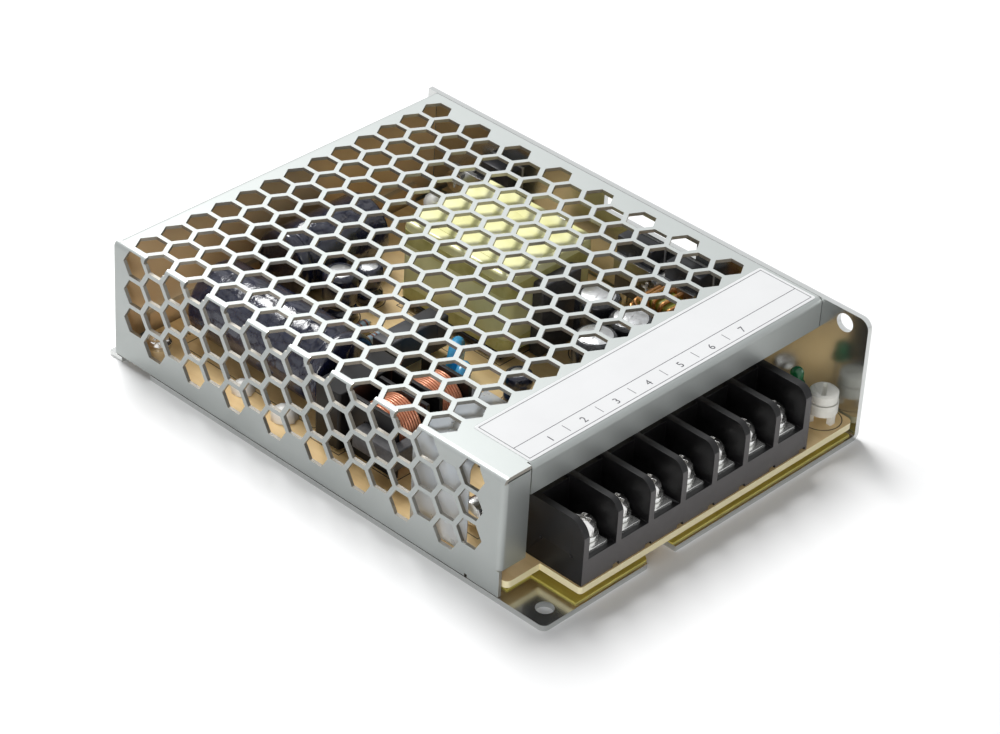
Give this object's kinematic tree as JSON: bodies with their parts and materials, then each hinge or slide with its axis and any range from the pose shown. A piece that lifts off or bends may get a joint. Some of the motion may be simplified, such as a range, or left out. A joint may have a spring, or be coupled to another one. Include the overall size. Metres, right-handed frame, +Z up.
{
  "type": "enclosed switching power supply",
  "caption": "Flat metal-cased power supply: folded hexagon-mesh cover over a circuit board, with a screw terminal block, status light and output trimmer at one end.",
  "frame": {"origin": "centre of the base plate's footprint, on its underside", "axes": "+X width, towards the solid side wall; +Y length, away from the terminals; +Z up"},
  "size_m": [0.097, 0.129, 0.03],
  "materials": {
    "galvanised_chassis": "satin sheet, polished inside",
    "galvanised_cover": "satin light grey sheet",
    "plated_screw": "bright nickel plate",
    "olive_sheet": "olive yellow insulating sheet",
    "board_laminate": "tan single-sided laminate",
    "black_moulding": "satin black moulding",
    "tinned_contact": "tinned brass",
    "cream_plastic": "cream plastic",
    "green_led": "clear green lens",
    "ferrite": "dark sintered ferrite",
    "yellow_tape": "pale yellow polyester tape",
    "capacitor_sleeve": "navy black shrink sleeve",
    "blue_epoxy": "blue dipped coating",
    "copper_wire": "enamelled copper wire",
    "black_epoxy": "black epoxy package",
    "ceramic_tube": "ceramic tube",
    "green_epoxy": "dark green dipped coating",
    "resistor_body": "painted body",
    "clamp_steel": "plated spring steel",
    "grey_pad": "grey silicone pad",
    "black_sleeve": "black shrink sleeve",
    "can_top": "bare aluminium can end",
    "toroid_coating": "yellow green core coating",
    "shield_film": "milky translucent film",
    "white_silicone": "white silicone sealant",
    "label_film": "white plastic label film",
    "print_ink": "dark printing on the label and the board",
    "solder": "tin solder and tinned leads"
  },
  "bodies": {
    "case": {"chassis": "galvanised_chassis", "mesh_cover": "galvanised_cover", "cover_screws": "plated_screw", "insulating_sheet": "olive_sheet", "circuit_board": "board_laminate", "board_posts": "plated_screw", "board_screws": "plated_screw", "terminal_block": "black_moulding", "contact_plates": "tinned_contact", "trimmer_body": "cream_plastic", "indicator_led": "green_led", "transformer_core": "ferrite", "transformer_bobbin": "black_moulding", "transformer_winding": "yellow_tape", "main_capacitor": "capacitor_sleeve", "second_capacitor": "capacitor_sleeve", "line_capacitor": "black_moulding", "disc_capacitors": "blue_epoxy", "choke_core": "ferrite", "choke_bobbin": "black_moulding", "choke_windings": "copper_wire", "bridge_rectifier": "black_epoxy", "fuse": "ceramic_tube", "thermistor": "green_epoxy", "small_capacitors": "capacitor_sleeve", "resistors": "resistor_body", "power_transistor": "black_epoxy", "output_diodes": "black_epoxy", "clamp_bar": "clamp_steel", "clamp_screws": "plated_screw", "thermal_pad": "grey_pad", "output_capacitors": "black_sleeve", "output_capacitor_tops": "can_top", "output_choke_core": "toroid_coating", "output_choke_winding": "copper_wire", "shield_film": "shield_film", "silicone_beads": "white_silicone"},
    "washer_1": {"clamp_washer_1": "tinned_contact"},
    "screw_1": {"terminal_screw_1": "plated_screw"},
    "washer_2": {"clamp_washer_2": "tinned_contact"},
    "screw_2": {"terminal_screw_2": "plated_screw"},
    "washer_3": {"clamp_washer_3": "tinned_contact"},
    "screw_3": {"terminal_screw_3": "plated_screw"},
    "washer_4": {"clamp_washer_4": "tinned_contact"},
    "screw_4": {"terminal_screw_4": "plated_screw"},
    "washer_5": {"clamp_washer_5": "tinned_contact"},
    "screw_5": {"terminal_screw_5": "plated_screw"},
    "washer_6": {"clamp_washer_6": "tinned_contact"},
    "screw_6": {"terminal_screw_6": "plated_screw"},
    "washer_7": {"clamp_washer_7": "tinned_contact"},
    "screw_7": {"terminal_screw_7": "plated_screw"},
    "dial": {"trimmer_dial": "cream_plastic"}
  },
  "joints": [
    {"name": "washer_1_lift", "type": "slide", "parent": "case", "child": "washer_1", "axis": [0, 0, 1], "range_m": [0, 0.0022]},
    {"name": "screw_1_turn", "type": "hinge", "parent": "washer_1", "child": "screw_1", "pos_m": [-0.03197, -0.0579, 0.0132], "axis": [0, 0, 1], "range_deg": [0, 1320]},
    {"name": "washer_2_lift", "type": "slide", "parent": "case", "child": "washer_2", "axis": [0, 0, 1], "range_m": [0, 0.0022]},
    {"name": "screw_2_turn", "type": "hinge", "parent": "washer_2", "child": "screw_2", "pos_m": [-0.0224, -0.0579, 0.0132], "axis": [0, 0, 1], "range_deg": [0, 1320]},
    {"name": "washer_3_lift", "type": "slide", "parent": "case", "child": "washer_3", "axis": [0, 0, 1], "range_m": [0, 0.0022]},
    {"name": "screw_3_turn", "type": "hinge", "parent": "washer_3", "child": "screw_3", "pos_m": [-0.01282, -0.0579, 0.0132], "axis": [0, 0, 1], "range_deg": [0, 1320]},
    {"name": "washer_4_lift", "type": "slide", "parent": "case", "child": "washer_4", "axis": [0, 0, 1], "range_m": [0, 0.0022]},
    {"name": "screw_4_turn", "type": "hinge", "parent": "washer_4", "child": "screw_4", "pos_m": [-0.00326, -0.0579, 0.0132], "axis": [0, 0, 1], "range_deg": [0, 1320]},
    {"name": "washer_5_lift", "type": "slide", "parent": "case", "child": "washer_5", "axis": [0, 0, 1], "range_m": [0, 0.0022]},
    {"name": "screw_5_turn", "type": "hinge", "parent": "washer_5", "child": "screw_5", "pos_m": [0.00632, -0.0579, 0.0132], "axis": [0, 0, 1], "range_deg": [0, 1320]},
    {"name": "washer_6_lift", "type": "slide", "parent": "case", "child": "washer_6", "axis": [0, 0, 1], "range_m": [0, 0.0022]},
    {"name": "screw_6_turn", "type": "hinge", "parent": "washer_6", "child": "screw_6", "pos_m": [0.01588, -0.0579, 0.0132], "axis": [0, 0, 1], "range_deg": [0, 1320]},
    {"name": "washer_7_lift", "type": "slide", "parent": "case", "child": "washer_7", "axis": [0, 0, 1], "range_m": [0, 0.0022]},
    {"name": "screw_7_turn", "type": "hinge", "parent": "washer_7", "child": "screw_7", "pos_m": [0.02545, -0.0579, 0.0132], "axis": [0, 0, 1], "range_deg": [0, 1320]},
    {"name": "trimmer_turn", "type": "hinge", "parent": "case", "child": "dial", "pos_m": [0.0422, -0.0589, 0.0103], "axis": [0, 0, 1], "range_deg": [-130, 130]}
  ],
  "couplings": [
    {"joint": "screw_1_turn", "follows": "washer_1_lift", "rad_per_m": 10472},
    {"joint": "screw_2_turn", "follows": "washer_2_lift", "rad_per_m": 10472},
    {"joint": "screw_3_turn", "follows": "washer_3_lift", "rad_per_m": 10472},
    {"joint": "screw_4_turn", "follows": "washer_4_lift", "rad_per_m": 10472},
    {"joint": "screw_5_turn", "follows": "washer_5_lift", "rad_per_m": 10472},
    {"joint": "screw_6_turn", "follows": "washer_6_lift", "rad_per_m": 10472},
    {"joint": "screw_7_turn", "follows": "washer_7_lift", "rad_per_m": 10472}
  ]
}
